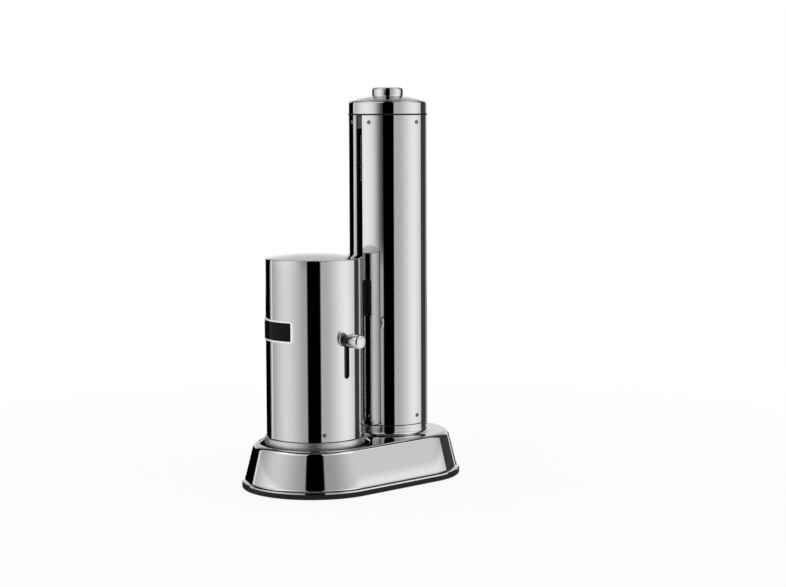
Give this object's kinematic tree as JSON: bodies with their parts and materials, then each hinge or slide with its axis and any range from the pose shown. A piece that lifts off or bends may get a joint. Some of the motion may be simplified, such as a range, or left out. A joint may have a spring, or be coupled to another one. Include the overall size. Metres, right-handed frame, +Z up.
{
  "type": "sparkling water maker",
  "caption": "Countertop sparkling water maker: polished gas tower with a top button, and a sliding chamber with a side lever on one long base.",
  "frame": {"origin": "on the floor, midway between the chamber axis and the tower axis", "axes": "+Z up, the chamber stands towards -Y, the tower towards +Y, the side lever points to +X"},
  "size_m": [0.152, 0.258, 0.413],
  "materials": {
    "rubber": "matt",
    "polished_steel": "mirror polished stainless steel",
    "plain_steel": "plain machined",
    "black_plastic": "fine matt",
    "grey_plastic": "matt",
    "brass": "machined",
    "alloy": "die cast, blasted",
    "dark_alloy": "black anodised",
    "cast_frame": "die cast, dark",
    "cylinder_paint": "satin paint",
    "gloss_black": "gloss"
  },
  "bodies": {
    "stand": {"rubber_foot": "rubber", "base_shell": "polished_steel", "base_frame": "cast_frame", "bottom_cover": "black_plastic", "cover_screws": "plain_steel", "seat_cup": "black_plastic", "seat_pad": "rubber", "landing_ring": "rubber", "tower_collar": "polished_steel", "tower_seam": "rubber", "tower_tube": "polished_steel", "tower_screws_low": "plain_steel", "tower_screws_high": "plain_steel", "head_frame": "grey_plastic", "cap_seam": "rubber", "tower_cap": "polished_steel", "button_guide": "grey_plastic", "guide_rails": "plain_steel", "valve_block": "dark_alloy", "block_screws": "plain_steel", "inlet_washer": "rubber", "feed_elbow": "dark_alloy", "feed_pipe": "plain_steel", "gas_cylinder": "cylinder_paint", "cylinder_valve": "brass", "button_spring": "plain_steel"},
    "push_button": {"button": "polished_steel", "push_rod": "plain_steel", "valve_pin": "plain_steel"},
    "chamber": {"chamber_shell": "polished_steel", "chamber_lid": "polished_steel", "chamber_collar": "polished_steel", "chamber_seam": "rubber", "chamber_liner": "black_plastic", "chamber_screws": "plain_steel", "name_plate": "gloss_black", "plate_frame": "polished_steel", "slide_arm": "black_plastic", "slider": "grey_plastic", "feed_sleeve": "plain_steel", "arm_screws": "plain_steel", "slider_screws": "plain_steel", "head_bridge": "alloy", "pivot_pins": "plain_steel", "relief_valve": "brass", "nozzle_pipe": "plain_steel", "chamber_elbow": "brass", "chamber_hose": "rubber"},
    "side_lever": {"lever_knob": "polished_steel", "lever_stem": "plain_steel", "lever_bush": "black_plastic", "lever_strap": "black_plastic"},
    "nozzle_yoke": {"yoke": "plain_steel"},
    "nozzle": {"nozzle_bell": "alloy", "nozzle_seal": "rubber"}
  },
  "joints": [
    {"name": "chamber_slide", "type": "slide", "parent": "stand", "child": "chamber", "axis": [0, 0, 1], "range_m": [0, 0.138]},
    {"name": "lever_slide", "type": "slide", "parent": "chamber", "child": "side_lever", "axis": [0, 0, -1], "range_m": [0, 0.036]},
    {"name": "yoke_turn", "type": "hinge", "parent": "chamber", "child": "nozzle_yoke", "pos_m": [-0.007, -0.053, 0.215], "axis": [0, 1, 0], "range_deg": [0, 53.49]},
    {"name": "nozzle_slide", "type": "slide", "parent": "chamber", "child": "nozzle", "axis": [0, 0, -1], "range_m": [0, 0.00705]},
    {"name": "button_press", "type": "slide", "parent": "stand", "child": "push_button", "axis": [0, 0, -1], "range_m": [0, 0.005], "stiffness_N_per_m": 1500, "springref_m": -0.003, "deforming": ["button_spring"]}
  ],
  "couplings": [
    {"joint": "yoke_turn", "follows": "lever_slide", "rad_per_m": 25.931},
    {"joint": "nozzle_slide", "follows": "lever_slide", "ratio": 0.19594}
  ]
}
